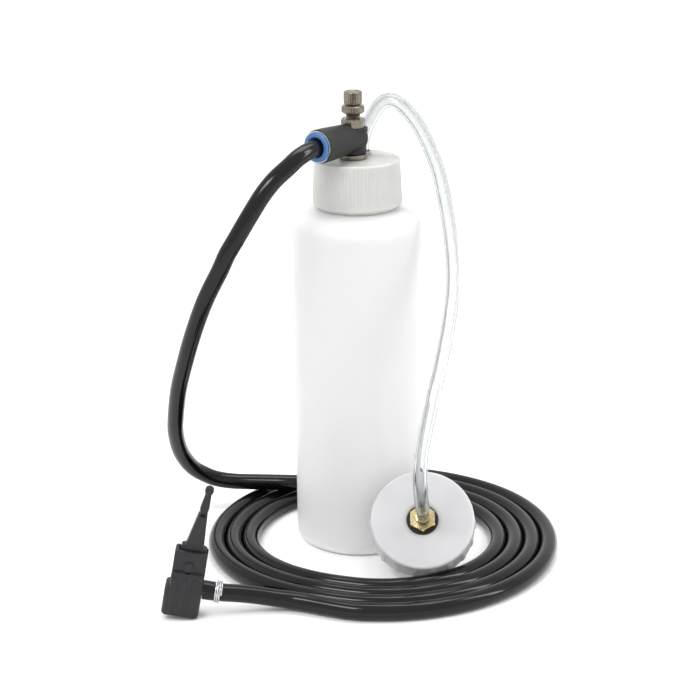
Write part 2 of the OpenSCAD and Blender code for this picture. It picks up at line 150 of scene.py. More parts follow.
def blowMouldedHdpe():
    # natural HDPE, blow moulded: milky, light soaks in a few millimetres, with faint upright draw lines
    # 4 mm apart and slow waves from the mould about 38 mm long; a faint white glow is painted light over the whole
    # bottle
    material, tree = startMaterial("blowMouldedHdpe")
    place = addNode(tree, "ShaderNodeTexCoord")
    lines = addNode(tree, "ShaderNodeMapping", {"Scale": (1 / (4 * mm), 1 / (4 * mm), 1 / (170 * mm))},
        {"Vector": (place, "Object")})
    drawn = addNode(tree, "ShaderNodeTexNoise", {"Scale": 1.0, "Detail": 3.0}, {"Vector": (lines, "Vector")})
    waves = addNode(tree, "ShaderNodeTexNoise", {"Scale": 1 / (38 * mm), "Detail": 2.0},
        {"Vector": (place, "Object")})
    tint = addNode(tree, "ShaderNodeMix", {"data_type": "RGBA", 6: hexToLinear("E6E6E6"),
        7: hexToLinear("E0E0E0")}, {0: (waves, "Fac")})
    height = addNode(tree, "ShaderNodeMath", {"operation": "MULTIPLY_ADD", 1: 0.25},
        {0: (drawn, "Fac"), 2: (waves, "Fac")})
    bump = addNode(tree, "ShaderNodeBump", {"Strength": 0.16, "Distance": 0.6 * mm},
        {"Height": (height, "Value")})
    # painted light: the white emission makes the bottle glow faintly, lifting its shaded lower part as light
    # shining through the walls would
    shader = addNode(tree, "ShaderNodeBsdfPrincipled", {"Roughness": 0.38, "IOR": 1.54,
        "Subsurface Weight": 0.85, "Subsurface Scale": 12 * mm, "Subsurface Radius": (1.0, 1.0, 1.0),
        "Emission Color": hexToLinear("FFFFFF"), "Emission Strength": 0.08},
        {"Base Color": (tint, 2), "Normal": (bump, "Normal")})
    addNode(tree, "ShaderNodeOutputMaterial", links={"Surface": (shader, "BSDF")})
    return material


def mouldedPolymer(name, first, second, roughness, softMm, cloudMm):
    # unfilled polyolefin or nylon, injection moulded: waxy satin skin, faintly cloudy, light passes in by
    # softMm
    material, tree = startMaterial(name)
    place = addNode(tree, "ShaderNodeTexCoord")
    cloud = addNode(tree, "ShaderNodeTexNoise", {"Scale": 1 / (cloudMm * mm), "Detail": 3.0},
        {"Vector": (place, "Object")})
    tint = addNode(tree, "ShaderNodeMix", {"data_type": "RGBA", 6: hexToLinear(first),
        7: hexToLinear(second)},
        {0: (cloud, "Fac")})
    bump = addNode(tree, "ShaderNodeBump", {"Strength": 0.14, "Distance": 0.4 * mm},
        {"Height": (cloud, "Fac")})
    shader = addNode(tree, "ShaderNodeBsdfPrincipled", {"Roughness": roughness, "IOR": 1.5,
        "Subsurface Weight": 0.75, "Subsurface Scale": softMm * mm, "Subsurface Radius": (1.0, 1.0, 1.0)},
        {"Base Color": (tint, 2), "Normal": (bump, "Normal")})
    addNode(tree, "ShaderNodeOutputMaterial", links={"Surface": (shader, "BSDF")})
    return material


def grainedPolymer(name, dark, light, roughness, grainMm):
    # glass-filled plastic or rubber from a spark-eroded mould: matt, with a fine grain and paler patches
    material, tree = startMaterial(name)
    place = addNode(tree, "ShaderNodeTexCoord")
    grain = addNode(tree, "ShaderNodeTexNoise", {"Scale": 1 / (grainMm * mm), "Detail": 2.0},
        {"Vector": (place, "Object")})
    patches = addNode(tree, "ShaderNodeTexNoise", {"Scale": 1 / (8 * mm), "Detail": 3.0},
        {"Vector": (place, "Object")})
    tint = addNode(tree, "ShaderNodeMix", {"data_type": "RGBA", 6: hexToLinear(dark), 7: hexToLinear(light)},
        {0: (patches, "Fac")})
    bump = addNode(tree, "ShaderNodeBump", {"Strength": 0.35, "Distance": 0.12 * mm},
        {"Height": (grain, "Fac")})
    shader = addNode(tree, "ShaderNodeBsdfPrincipled", {"Roughness": roughness, "IOR": 1.5,
        "Specular IOR Level": 0.35}, {"Base Color": (tint, 2), "Normal": (bump, "Normal")})
    addNode(tree, "ShaderNodeOutputMaterial", links={"Surface": (shader, "BSDF")})
    return material


def extrudedBlackPvc():
    # soft PVC, extruded: black with a deep gloss, a fine die texture 1 mm across and a slow unevenness
    # 17 mm long that breaks the highlights
    material, tree = startMaterial("extrudedBlackPvc")
    place = addNode(tree, "ShaderNodeTexCoord")
    slow = addNode(tree, "ShaderNodeTexNoise", {"Scale": 1 / (17 * mm), "Detail": 1.0},
        {"Vector": (place, "Object")})
    fine = addNode(tree, "ShaderNodeTexNoise", {"Scale": 1 / (1.1 * mm), "Detail": 2.0},
        {"Vector": (place, "Object")})
    height = addNode(tree, "ShaderNodeMath", {"operation": "MULTIPLY_ADD", 1: 0.05},
        {0: (fine, "Fac"), 2: (slow, "Fac")})
    bump = addNode(tree, "ShaderNodeBump", {"Strength": 0.22, "Distance": 0.7 * mm},
        {"Height": (height, "Value")})
    sheen = addNode(tree, "ShaderNodeMapRange", {"To Min": 0.08, "To Max": 0.2}, {"Value": (slow, "Fac")})
    tint = addNode(tree, "ShaderNodeMix", {"data_type": "RGBA", 6: hexToLinear("060607"),
        7: hexToLinear("0D0D0F")},
        {0: (slow, "Fac")})
    shader = addNode(tree, "ShaderNodeBsdfPrincipled", {"IOR": 1.53, "Specular IOR Level": 0.26},
        {"Base Color": (tint, 2), "Roughness": (sheen, "Result"), "Normal": (bump, "Normal")})
    addNode(tree, "ShaderNodeOutputMaterial", links={"Surface": (shader, "BSDF")})
    return material


def extrudedClearPvc():
    # clear soft PVC, extruded: water-clear in the middle, grey along both edges of its wall; that grey is painted
    # shade, a darker base colour where the surface turns edge-on to the view
    material, tree = startMaterial("extrudedClearPvc")
    place = addNode(tree, "ShaderNodeTexCoord")
    slow = addNode(tree, "ShaderNodeTexNoise", {"Scale": 1 / (12 * mm), "Detail": 1.0},
        {"Vector": (place, "Object")})
    bump = addNode(tree, "ShaderNodeBump", {"Strength": 0.08, "Distance": 0.4 * mm},
        {"Height": (slow, "Fac")})
    # painted shade: the facing weight turns the base colour grey towards the edges of the tube
    edge = addNode(tree, "ShaderNodeLayerWeight", {"Blend": 0.4})
    tint = addNode(tree, "ShaderNodeMix", {"data_type": "RGBA", 6: hexToLinear("F0F2F2"),
        7: hexToLinear("6E7375")},
        {0: (edge, "Facing")})
    shader = addNode(tree, "ShaderNodeBsdfPrincipled",
        {"Roughness": 0.03, "IOR": 1.42, "Transmission Weight": 1.0},
        {"Base Color": (tint, 2), "Normal": (bump, "Normal")})
    addNode(tree, "ShaderNodeOutputMaterial", links={"Surface": (shader, "BSDF")})
    return material


def turnedMetal(name, bright, dull, roughness, toolMarkMm):
    # turned or plated metal: fine tool marks, with duller patches 3 mm across from handling
    material, tree = startMaterial(name)
    place = addNode(tree, "ShaderNodeTexCoord")
    marks = addNode(tree, "ShaderNodeTexNoise", {"Scale": 1 / (toolMarkMm * mm), "Detail": 2.0},
        {"Vector": (place, "Object")})
    patches = addNode(tree, "ShaderNodeTexNoise", {"Scale": 1 / (3 * mm), "Detail": 3.0},
        {"Vector": (place, "Object")})
    tint = addNode(tree, "ShaderNodeMix", {"data_type": "RGBA", 6: hexToLinear(bright), 7: hexToLinear(dull)},
        {0: (patches, "Fac")})
    wear = addNode(tree, "ShaderNodeMapRange", {"To Min": roughness * 0.7, "To Max": roughness * 1.4},
        {"Value": (patches, "Fac")})
    bump = addNode(tree, "ShaderNodeBump", {"Strength": 0.25, "Distance": 0.08 * mm},
        {"Height": (marks, "Fac")})
    shader = addNode(tree, "ShaderNodeBsdfPrincipled", {"Metallic": 1.0},
        {"Base Color": (tint, 2), "Roughness": (wear, "Result"), "Normal": (bump, "Normal")})
    addNode(tree, "ShaderNodeOutputMaterial", links={"Surface": (shader, "BSDF")})
    return material


finishes = {
    "bottle_hdpe": blowMouldedHdpe(),
    "cap_pp": mouldedPolymer("naturalPolypropylene", "BFBFBC", "B1B1AE", 0.34, 5, 11),
    "adaptor_pe": mouldedPolymer("whitePolyethylene", "C1C1C3", "B8B8BA", 0.42, 3, 14),
    "collet_blue": mouldedPolymer("blueAcetal", "41699B", "5078A8", 0.34, 0.6, 5),
    "nylon_natural": mouldedPolymer("naturalNylon", "C2C2BE", "B6B6B1", 0.4, 1.5, 5),
    "foam_liner": mouldedPolymer("foamedPolyethylene", "D5D5D2", "C8C8C4", 0.8, 0.5, 2),
    "elbow_pbt": grainedPolymer("glassFilledPbt", "19191B", "232325", 0.52, 0.25),
    "chuck_nylon": grainedPolymer("glassFilledNylon", "161618", "212124", 0.46, 0.3),
    "seal_rubber": grainedPolymer("nitrileRubber", "141416", "1E1E20", 0.6, 0.2),
    "nickel_brass": turnedMetal("nickelledBrass", "A29C90", "5D574D", 0.3, 0.3),
    "brass": turnedMetal("turnedBrass", "E3D6AC", "A8935C", 0.24, 0.3),
    "zinc_steel": turnedMetal("zincedSteel", "D3D5D8", "B9BCC0", 0.25, 0.3),
    "black_pvc": extrudedBlackPvc(),
    "clear_pvc": extrudedClearPvc(),
}


def paintFrame():
    # every CAD node takes its slot's finish; those that a piece replaces are hidden later
    for row in record["subparts"]:
        finish = nodes[row["node"]].data.materials
        finish.clear()
        finish.append(finishes[row["material_slot"]])


def makeFloor(look):
    half = look["side"] / 2
    mesh = bpy.data.meshes.new("floor")
    mesh.from_pydata([(-half, -half, 0), (half, -half, 0), (half, half, 0), (-half, half, 0)], [],
        [(0, 1, 2, 3)])
    floor = bpy.data.objects.new("floor", mesh)
    floor.location.z = cadLow.z - 0.2 * mm
    bpy.context.scene.collection.objects.link(floor)
    material, tree = startMaterial("paintedFloor")
    place = addNode(tree, "ShaderNodeTexCoord")
    cloud = addNode(tree, "ShaderNodeTexNoise", {"Scale": 1 / (400 * mm)}, {"Vector": (place, "Object")})
    tone = addNode(tree, "ShaderNodeMapRange", {"To Min": 0.88, "To Max": 0.92}, {"Value": (cloud, "Fac")})
    shader = addNode(tree, "ShaderNodeBsdfPrincipled", {"Base Color": hexToLinear(look["colour"])},
        {"Roughness": (tone, "Result")})
    addNode(tree, "ShaderNodeOutputMaterial", links={"Surface": (shader, "BSDF")})
    mesh.materials.append(material)


paintFrame()
makeFloor(floorLook)
print("materials made")


def local(origin, axis, side):
    # a piece's own axes: z along axis, x as near to side as it can be
    z = Vector(axis).normalized()
    y = z.cross(Vector(side)).normalized()
    return Matrix.Translation(origin) @ Matrix((y.cross(z), y, z)).transposed().to_4x4()


def middle(node):
    low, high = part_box(node)
    return (low + high) / 2


def rounded(corners, steps=5):
    # an outline of (a, b, fillet) corners in millimetres, each fillet drawn as an arc
    points = []
    for i, (a, b, fillet) in enumerate(corners):
        here = Vector((a, b))
        if fillet <= 0 or i in (0, len(corners) - 1):
            points.append(here)
            continue
        toBefore = (Vector(corners[i - 1][:2]) - here)
        toAfter = (Vector(corners[i + 1][:2]) - here)
        room = min(toBefore.length, toAfter.length) * 0.49
        toBefore.normalize()
        toAfter.normalize()
        half = math.acos(max(-1, min(1, toBefore.dot(toAfter)))) / 2
        reach = min(fillet / math.tan(half), room)
        centre = here + (toBefore + toAfter).normalized() * reach / math.cos(half)
        first, last = here + toBefore * reach - centre, here + toAfter * reach - centre
        turn = first.angle_signed(last)
        for k in range(steps + 1):
            spoke = first.copy()
            spoke.rotate(Matrix.Rotation(-turn * k / steps, 2))
            points.append(centre + spoke)
    return points


def lathe(profile, sides, shape=None, closed=False):
    # a turned surface; shape(angle, r, z) gives the radius where it isn't round
    mesh = bmesh.new()
    rings = []
    for r, z in profile:
        if r < 1e-6:
            rings.append([mesh.verts.new((0, 0, z * mm))])
            continue
        ring = []
        for k in range(sides):
            angle = 2 * math.pi * k / sides
            reach = shape(angle, r, z) if shape else r
            ring.append(mesh.verts.new((reach * mm * math.cos(angle), reach * mm * math.sin(angle), z * mm)))
        rings.append(ring)
    if closed:
        rings.append(rings[0])
    for low, high in zip(rings, rings[1:]):
        for k in range(sides):
            n = (k + 1) % sides
            face = [low[k % len(low)], low[n % len(low)], high[n % len(high)], high[k % len(high)]]
            face = list(dict.fromkeys(face))
            if len(face) > 2:
                mesh.faces.new(face)
    return mesh


def stack(layers):
    # a solid through outlines of as many points each, given as (height, points)
    mesh = bmesh.new()
    rings = [[mesh.verts.new((a * mm, b * mm, z * mm)) for a, b in outline] for z, outline in layers]
    mesh.faces.new(rings[0][::-1])
    mesh.faces.new(rings[-1])
    for low, high in zip(rings, rings[1:]):
        for k in range(len(low)):
            n = (k + 1) % len(low)
            mesh.faces.new((low[k], low[n], high[n], high[k]))
    return mesh


def roundedBox(x0, x1, y0, y1, z0, z1, corner, lowEdge=0.5, highEdge=0.5):
    # upright corners of one radius, with softened lower and upper edges
    layers = []
    for z, inset in ((z0, lowEdge), (z0 + lowEdge * 0.3, lowEdge * 0.3), (z0 + lowEdge, 0),
            (z1 - highEdge, 0), (z1 - highEdge * 0.3, highEdge * 0.3), (z1, highEdge)):
        outline = []
        r = max(corner - inset, 0.2)
        for cx, cy, start in ((x1, y1, 0), (x0, y1, 90), (x0, y0, 180), (x1, y0, 270)):
            inX = cx - math.copysign(r + inset, cx - (x0 + x1) / 2)
            inY = cy - math.copysign(r + inset, cy - (y0 + y1) / 2)
            for k in range(7):
                a = math.radians(start + 15 * k)
                outline.append((inX + r * math.cos(a), inY + r * math.sin(a)))
        layers.append((z, outline))
    return stack(layers)


def crossPlate(outline, thickness):
    # an outline in the x-z plane, given thickness along y with softened edges
    edge = 0.5
    mesh = stack([(-thickness / 2, outline), (thickness / 2, outline)])
    sharp = [e for e in mesh.edges if e.calc_face_angle(0) > math.radians(50)]
    bmesh.ops.bevel(mesh, geom=sharp, offset=edge * mm, segments=2, profile=0.5, affect="EDGES")
    mesh.transform(Matrix.Rotation(math.radians(90), 4, "X"))
    return mesh


def placed(mesh, matrix):
    mesh.transform(matrix)
    return mesh


def joined(*meshes):
    whole = bmesh.new()
    for mesh in meshes:
        data = bpy.data.meshes.new("part")
        mesh.to_mesh(data)
        mesh.free()
        whole.from_mesh(data)
        bpy.data.meshes.remove(data)
    return whole


def carved(base, adds=(), cuts=()):
    # base with the adds joined to it and the cuts taken out
    holders = []
    for mesh in (base, *adds, *cuts):
        bmesh.ops.recalc_face_normals(mesh, faces=mesh.faces)
        data = bpy.data.meshes.new("blank")
        mesh.to_mesh(data)
        mesh.free()
        holder = bpy.data.objects.new("blank", data)
        bpy.context.scene.collection.objects.link(holder)
        holders.append(holder)
    for i, tool in enumerate(holders[1:]):
        cut = holders[0].modifiers.new("cut", "BOOLEAN")
        cut.operation = "UNION" if i < len(adds) else "DIFFERENCE"
        cut.solver = "EXACT"
        cut.object = tool
    bpy.context.view_layer.update()
    shown = bpy.data.meshes.new_from_object(holders[0].evaluated_get(bpy.context.evaluated_depsgraph_get()))
    result = bmesh.new()
    result.from_mesh(shown)
    bpy.data.meshes.remove(shown)
    for holder in holders:
        data = holder.data
        bpy.data.objects.remove(holder)
        bpy.data.meshes.remove(data)
    return result


def addPiece(name, mesh, slot, body, replaced, sharp=32):
    bmesh.ops.recalc_face_normals(mesh, faces=mesh.faces)
    for edge in mesh.edges:
        edge.smooth = not (len(edge.link_faces) == 2 and edge.calc_face_angle(0) > math.radians(sharp))
    for face in mesh.faces:
        face.smooth = True
        face.material_index = 0
    data = bpy.data.meshes.new(name)
    mesh.to_mesh(data)
    mesh.free()
    data.materials.append(finishes[slot])
    piece = bpy.data.objects.new(name, data)
    bpy.context.scene.collection.objects.link(piece)
    if body:
        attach(piece, body)
    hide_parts(*replaced)
    return piece


airHose = {"diameter": 9.8, "sides": 28, "ringEvery": 3.0, "coilAt": (12, -17.2), "innerLane": 67.9,
    "lanePitch": 9.85, "turns": 3.558, "stepsPerTurn": 40, "laneChange": (0.54, 0.75), "onFloor": 4.9,
    "stretchOverBarb": 0.4, "barbLength": 9}
airDrop = [(-13.1, -15.2, 240.4), (-22.9, -27.8, 240.2), (-31, -36.5, 237.5), (-37, -41.5, 233),
    (-44.5, -46, 227),
    (-51, -49, 219.5), (-56, -51, 212), (-61, -52, 204), (-66, -52, 195.5), (-71, -51, 187), (-75, -49, 178),
    (-84, -43, 159.5), (-91.5, -35, 139.5), (-98, -25, 118.5), (-104, -12, 96), (-108, 3, 72), (-109, 12, 59),
    (-108, 22, 45.5), (-105, 30, 35), (-101, 36, 27.5), (-95, 41, 21.5), (-88, 43.5, 17.5), (-77, 44.5, 15.3),
    (-60, 43.5, 15.1), (-42, 42, 15.1), (-30, 43, 14.3), (-19, 46, 12), (-8, 49.5, 8.5), (3, 51.5, 5.8)]
airTail = [(-85.9, -106.8, 15), (-81.3, -106.8, 14.2), (-75.4, -106.8, 13.1), (-67, -105, 11.6),
    (-56, -103, 9.2),
    (-46, -101.8, 6.9), (-33.5, -102.6, 5.3)]
fluidHose = {"diameter": 8.0, "bore": 5.0, "sides": 32, "ringEvery": 2.5}
clearRun = [(3.2, 12.2, 226), (3.2, 12.2, 234), (4.1, 11.7, 239.5), (6.6, 10.6, 246), (9.9, 9, 252.3),
    (13, 7.4, 256.9), (17, 5.9, 259.7), (21.5, 4, 259.5), (26, 2, 256.8), (31, 0.5, 251.5), (36, -1, 244),
    (41, -4, 233.5), (45, -8, 223), (47.5, -12, 212.5), (49.5, -17, 202), (51, -22, 192), (52, -28, 182),
    (52.5, -34, 172.5), (52, -40, 163), (50.5, -47, 153.5), (48.5, -54, 144), (46, -61, 135),
    (43.5, -68, 126),
    (40.5, -75, 117), (38, -81, 107.5), (35.5, -85, 97.5), (33.5, -86.5, 87), (32.6, -86, 76.5),
    (32.6, -84.3, 67), (33.1, -81, 58.5), (33.8, -76.5, 51), (34.5, -70.5, 44.2), (34.8, -63.7, 37.6)]


def smoothStep(t):
    t = max(0.0, min(1.0, t))
    return t * t * (3 - 2 * t)


def coilRoute(hose):
    # the turns lie side by side; each moves out one lane at the front left, where the outer one leaves
    points = []
    steps = int(hose["turns"] * hose["stepsPerTurn"])
    for k in range(1, steps):
        turn = hose["turns"] * k / steps
        whole, part = int(turn), turn - int(turn)
        first, last = hose["laneChange"]
        lane = min(whole + smoothStep((part - first) / (last - first)), 3)
        facing = (90 - 360 * turn) % 360
        angle = math.radians(facing)
        lean = 1.3 * math.cos(angle + math.radians(15)) - 1.6 * math.exp(-((facing - 60) / 30) ** 2)
        radius = hose["innerLane"] + hose["lanePitch"] * lane + lean
        x = hose["coilAt"][0] + radius * math.cos(angle)
        y = hose["coilAt"][1] + radius * math.sin(angle)
        points.append((x, y, hose["onFloor"]))
    return points


def evenly(points, spacing):
    # a smooth curve through the points, cut into even steps
    fine = []
    last = len(points) - 1
    for i in range(last):
        p0, p1 = Vector(points[max(i - 1, 0)]), Vector(points[i])
        p2, p3 = Vector(points[i + 1]), Vector(points[min(i + 2, last)])
        for k in range(12):
            t = k / 12
            fine.append(0.5 * (2 * p1 + (p2 - p0) * t + (2 * p0 - 5 * p1 + 4 * p2 - p3) * t * t
                + (3 * p1 - p0 - 3 * p2 + p3) * t ** 3))
    fine.append(Vector(points[-1]))
    for _ in range(3):
        fine = [fine[0]] + [(a + 2 * b + c) / 4 for a, b, c in zip(fine, fine[1:], fine[2:])] + [fine[-1]]
    lengths = [0.0]
    for a, b in zip(fine, fine[1:]):
        lengths.append(lengths[-1] + (b - a).length)
    count = max(2, round(lengths[-1] / spacing))
    even, j = [], 0
    for k in range(count + 1):
        want = lengths[-1] * k / count
        while j < len(lengths) - 2 and lengths[j + 1] < want:
            j += 1
        span = max(lengths[j + 1] - lengths[j], 1e-9)
        even.append(fine[j].lerp(fine[j + 1], (want - lengths[j]) / span))
    return even, lengths[-1]


def sweep(path, sides, radiusAt):
    # rings carried along the path without twist
    mesh = bmesh.new()
    rings = []
    side = None
    for i, point in enumerate(path):
        ahead = (path[min(i + 1, len(path) - 1)] - path[max(i - 1, 0)]).normalized()
        if side is None:
            side = ahead.orthogonal().normalized()
        side = (side - ahead * side.dot(ahead)).normalized()
        other = ahead.cross(side)
        ring = []
        for k in range(sides):
            a = 2 * math.pi * k / sides
            ring.append(mesh.verts.new((point + (side * math.cos(a) + other * math.sin(a)) * radiusAt(i,
                a)) * mm))
        rings.append(ring)
    for low, high in zip(rings, rings[1:]):
        for k in range(sides):
            n = (k + 1) % sides
            mesh.faces.new((low[k], low[n], high[n], high[k]))
    return mesh, rings


def makeAirHose(hose):
    path, length = evenly(airDrop + coilRoute(hose) + airTail[::-1], hose["ringEvery"])
    r = hose["diameter"] / 2
    barbRings = hose["barbLength"] / hose["ringEvery"]

    def wall(i, angle):
        fromEnd = (len(path) - 1 - i) / barbRings
        return r * (1 + 0.012 * noise.noise(path[i] * 0.03)) + hose["stretchOverBarb"] * smoothStep(2 - 2 * fromEnd)

    mesh, rings = sweep(path, hose["sides"], wall)
    mesh.faces.new(rings[0][::-1])
    mesh.faces.new(rings[-1])
    piece = addPiece("airHose", mesh, "black_pvc", None,
        ["black_hose_drop", "black_hose_coil", "black_hose_tail"])
    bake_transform(piece)
    return piece, path, length


def makeFluidHose(hose):
    path, length = evenly(clearRun, hose["ringEvery"])
    outer = sweep(path, hose["sides"], lambda i, a: hose["diameter"] / 2)[0]
    inner = sweep(path, hose["sides"], lambda i, a: hose["bore"] / 2)[0]
    mesh = joined(outer, inner)
    mesh.verts.ensure_lookup_table()
    sides, rings = hose["sides"], len(path)
    for ring in (0, rings - 1):
        for k in range(sides):
            n = (k + 1) % sides
            corners = (ring * sides + k, ring * sides + n, (rings + ring) * sides + n,
                (rings + ring) * sides + k)
            mesh.faces.new([mesh.verts[v] for v in corners])
    piece = addPiece("fluidHose", mesh, "clear_pvc", None, ["clear_hose"], sharp=60)
    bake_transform(piece)
    return piece, path, length


hosePiece, hosePath, hoseLength = makeAirHose(airHose)
fluidPiece, fluidPath, fluidLength = makeFluidHose(fluidHose)
print("hoses made:", round(hoseLength), "mm of black,", round(fluidLength), "mm of clear")

bottleShape = {"sides": 192, "partingRidge": 0.12, "ridgeWidth": 0.03, "threadTurns": 2.4,
    "threadFrom": 208.6,
    "threadPitch": 4.2, "threadCentre": 20.35, "threadBead": 0.8}


def makeBottle(bottle):
    profile = rounded([(0, 1.6, 0), (20.5, 1.6, 2), (24, 0, 1.5), (37, 0, 12), (37, 197.6, 14),
        (22, 200.6, 1),
        (20.4, 201.2, 0.4), (20.4, 224.9, 0.4), (18.6, 224.9, 0.4), (18.6, 199.8, 1), (35.7, 196.6, 12.7),
        (35.7, 1.3, 10.7), (24, 1.3, 1.5), (20.5, 2.9, 2), (0, 2.9, 0)], 8)

    def seamed(angle, r, z):
        # the faint ridge where the two halves of the mould meet
        if r < 36.5:
            return r
        fromSeam = min(angle % math.pi, math.pi - angle % math.pi)
        return r + bottle["partingRidge"] * math.exp(-(fromSeam / bottle["ridgeWidth"]) ** 2)

    shell = lathe(profile, bottle["sides"], seamed)
    count = 96
    helix = []
    for k in range(count + 1):
        turn = bottle["threadTurns"] * k / count
        a = 2 * math.pi * turn
        helix.append(Vector((bottle["threadCentre"] * math.cos(a), bottle["threadCentre"] * math.sin(a),
            bottle["threadFrom"] + bottle["threadPitch"] * turn)))
    thread, ends = sweep(helix, 10, lambda i, a: bottle["threadBead"] * min(1, (i + 1) / 8,
        (count + 1 - i) / 8))
    thread.faces.new(ends[0][::-1])
    thread.faces.new(ends[-1])
    addPiece("bottleShell", joined(shell, thread), "bottle_hdpe", "root", ["bottle"])


capShape = {"sides": 432, "ribs": 72, "ribDepth": 0.2}


def makeCap(cap):
    profile = rounded([(0, 228.6, 0), (24.15, 228.6, 0.8), (25.4, 203.4, 0.8), (22.4, 201, 0.3),
        (21.7, 201, 0.2), (21.7, 226.5, 0.3), (0, 226.5, 0)])
    wall = [(24.2 + 1.2 * k / 8, 226.6 - 22.4 * k / 8) for k in range(9)]
    outerEnd = [i for i, (r, z) in enumerate(profile) if r > 23 and z > 227][-1]
    profile = profile[:outerEnd + 1] + wall + profile[outerEnd + 1:]

    def ribbed(angle, r, z):
        if r < 24 or not 205 < z < 226:
            return r
        return r - cap["ribDepth"] * (0.5 + 0.5 * math.cos(cap["ribs"] * angle))

    addPiece("screwCap", lathe(profile, cap["sides"], ribbed), "cap_pp", "cap", ["bottle_cap"])


def hexagon(flats, turn, low, high):
    # keeps a turned profile inside a hexagon between two heights; turn is the angle of a corner
    def clamp(angle, r, z):
        if not low <= z <= high:
            return r
        fromFlat = (angle - turn) % math.radians(60) - math.radians(30)
        return min(r, flats / 2 / math.cos(fromFlat))
    return clamp


def knurl(count, depth, low, high):
    def cut(angle, r, z):
        return r - depth * abs(math.sin(count * angle / 2)) if low < z < high and r > 4 else r
    return cut


valveShape = {"hexFlats": 12.6, "hexTurn": 22, "threadPitch": 0.75, "collarRadius": 4}
valveAt = Matrix.Translation((middle("lock_nut").x, middle("lock_nut").y, 0))


def makeValve(valve):
    r = valve["collarRadius"]
    thread = []
    for k in range(3):
        z = 251.5 + k * valve["threadPitch"]
        thread += [(r - 0.35, z), (r, z + valve["threadPitch"] / 2)]
    profile = rounded([(0, 217, 0), (5, 217, 0.3), (5, 228.7, 0), (7.9, 228.7, 0.3), (7.9, 231.4, 0.4),
        (5, 231.4, 0),
        (5, 246.4, 0), (6.7, 246.4, 0), (7.25, 246.8, 0), (7.25, 250.6, 0), (6.5, 251.2, 0),
        (r - 0.35, 251.25, 0)],
        3) + thread + [(r - 0.35, 253.8), (r - 0.1, 254.1), (3, 254.1), (3, 235), (0, 235)]
    hexagonal = hexagon(valve["hexFlats"], math.radians(valve["hexTurn"]), 246.3, 251.22)
    addPiece("valveStem", placed(lathe(profile, 180, hexagonal), valveAt), "nickel_brass", "cap",
        ["valve_stem"], 25)


# profile from the wheel's own foot, number of knurls, their depth, the heights they run between
wheels = {
    "lockNut": ([(3.03, 0, 0), (5.7, 0, 0.1), (6.35, 0.6, 0.1), (6.35, 3.6, 0.1), (5.7, 4.2, 0.1),
    (3.03, 4.2, 0)],
        30, 0.5, 0.7, 3.5),
    "adjusterKnob": ([(0, 4, 0), (2.95, 4, 0), (2.95, 0, 0), (4.3, 0, 0.1), (5.07, 0.6, 0.2),
    (5.07, 6.7, 0.2),
        (4.5, 7.4, 0.2), (3.4, 7.4, 0.1), (3.1, 7.1, 0.1), (0, 7.1, 0)], 24, 0.6, 0.7, 6.65),
}


def makeWheel(name, node, body):
    corners, count, depth, low, high = wheels[name]
    profile = rounded(corners, 3)
    longSide = 1.2  # a side longer than this gets a row near each end, so the knurls stop crisply
    inset = 0.15
    hub = 5
    rows = []
    for a, b in zip(profile, profile[1:]):
        rows.append(tuple(a))
        if a[0] > hub and b[0] > hub and abs(b[1] - a[1]) > longSide:
            up = 1 if b[1] > a[1] else -1
            rows += [(a[0], a[1] + inset * up), (b[0], b[1] - inset * up)]
    rows.append(tuple(profile[-1]))
    mesh = lathe(rows, count * 8, knurl(count, depth, low, high), closed=profile[0][0] > 0)
    foot = Matrix.Translation((0, 0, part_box(node)[0].z))
    addPiece(name, placed(mesh, valveAt @ foot), "nickel_brass", body, [node], 25)


socketAxis = -Vector(joints["collet_press"]["axis"])
socketAt = local((middle("lock_nut").x, middle("lock_nut").y, middle("grab_ring").z), socketAxis, (0, 0, 1))


def makeElbow():
    barrel = lathe(rounded([(0, -7, 0), (5, -6.6, 2), (8.4, -3, 4), (8.5, 6, 3), (9.4, 24, 4),
        (9.5, 30.6, 0.9),
        (9.3, 31.5, 0.2), (8.96, 31.5, 0), (8.96, 29.5, 0), (7.6, 29.5, 0), (7.6, 21, 0), (6.6, 21, 0),
        (6.6, 16, 0),
        (5.05, 16, 0), (5.05, 13, 0), (3.1, 13, 0), (3.1, 5.5, 0), (0, 5.5, 0)]), 96)
    swivel = lathe(rounded([(0, 231.5, 0), (7.3, 231.5, 0.6), (7.3, 242.4, 1), (8.2, 243.9, 0.8),
        (8.2, 246.2, 0.5),
        (0, 246.2, 0)]), 96)
    pocket = lathe([(0, 246.2), (8.35, 246.2), (8.6, 252), (0, 252)], 96)
    bore = lathe([(0, 230), (5.1, 230), (5.1, 248), (0, 248)], 64)
    mesh = carved(placed(barrel, socketAt), [placed(swivel, valveAt)],
        [placed(pocket, valveAt), placed(bore, valveAt)])
    addPiece("elbowBody", mesh, "elbow_pbt", "cap", ["elbow_body"], 28)


def makeCollet():
    profile = rounded([(5.07, 24, 0), (5.07, 23.2, 0), (7, 23.2, 0.2), (7, 31.6, 0.2), (8.2, 31.6, 0.3),
        (8.2, 33.6, 0.6), (5.9, 33.6, 0.5), (5.07, 32.6, 0.3), (5.07, 26, 0)])
    addPiece("releaseCollet", placed(lathe(profile, 96, closed=True), socketAt), "collet_blue", "collet",
        ["release_collet"])


makeBottle(bottleShape)
makeCap(capShape)
makeValve(valveShape)
makeWheel("lockNut", "lock_nut", "lock_nut")
makeWheel("adjusterKnob", "adjuster_knob", "adjuster")
makeElbow()
makeCollet()
print("bottle and cap made")

adaptorShape = {"sides": 360, "lugs": 18, "lugLow": -13.2, "lugHigh": -3.6, "lugTop": 0.5, "lugFoot": 0.6,
    "threadMiddle": -14.375, "hexFlats": 13.8}
threadMount = mounts["reservoir_thread"]
adaptorAxis = -Vector(threadMount["axis"])
adaptorAt = local(Vector(threadMount["pos_m"]) - adaptorAxis * adaptorShape["threadMiddle"] * mm,
    adaptorAxis, (1, 0, 0))


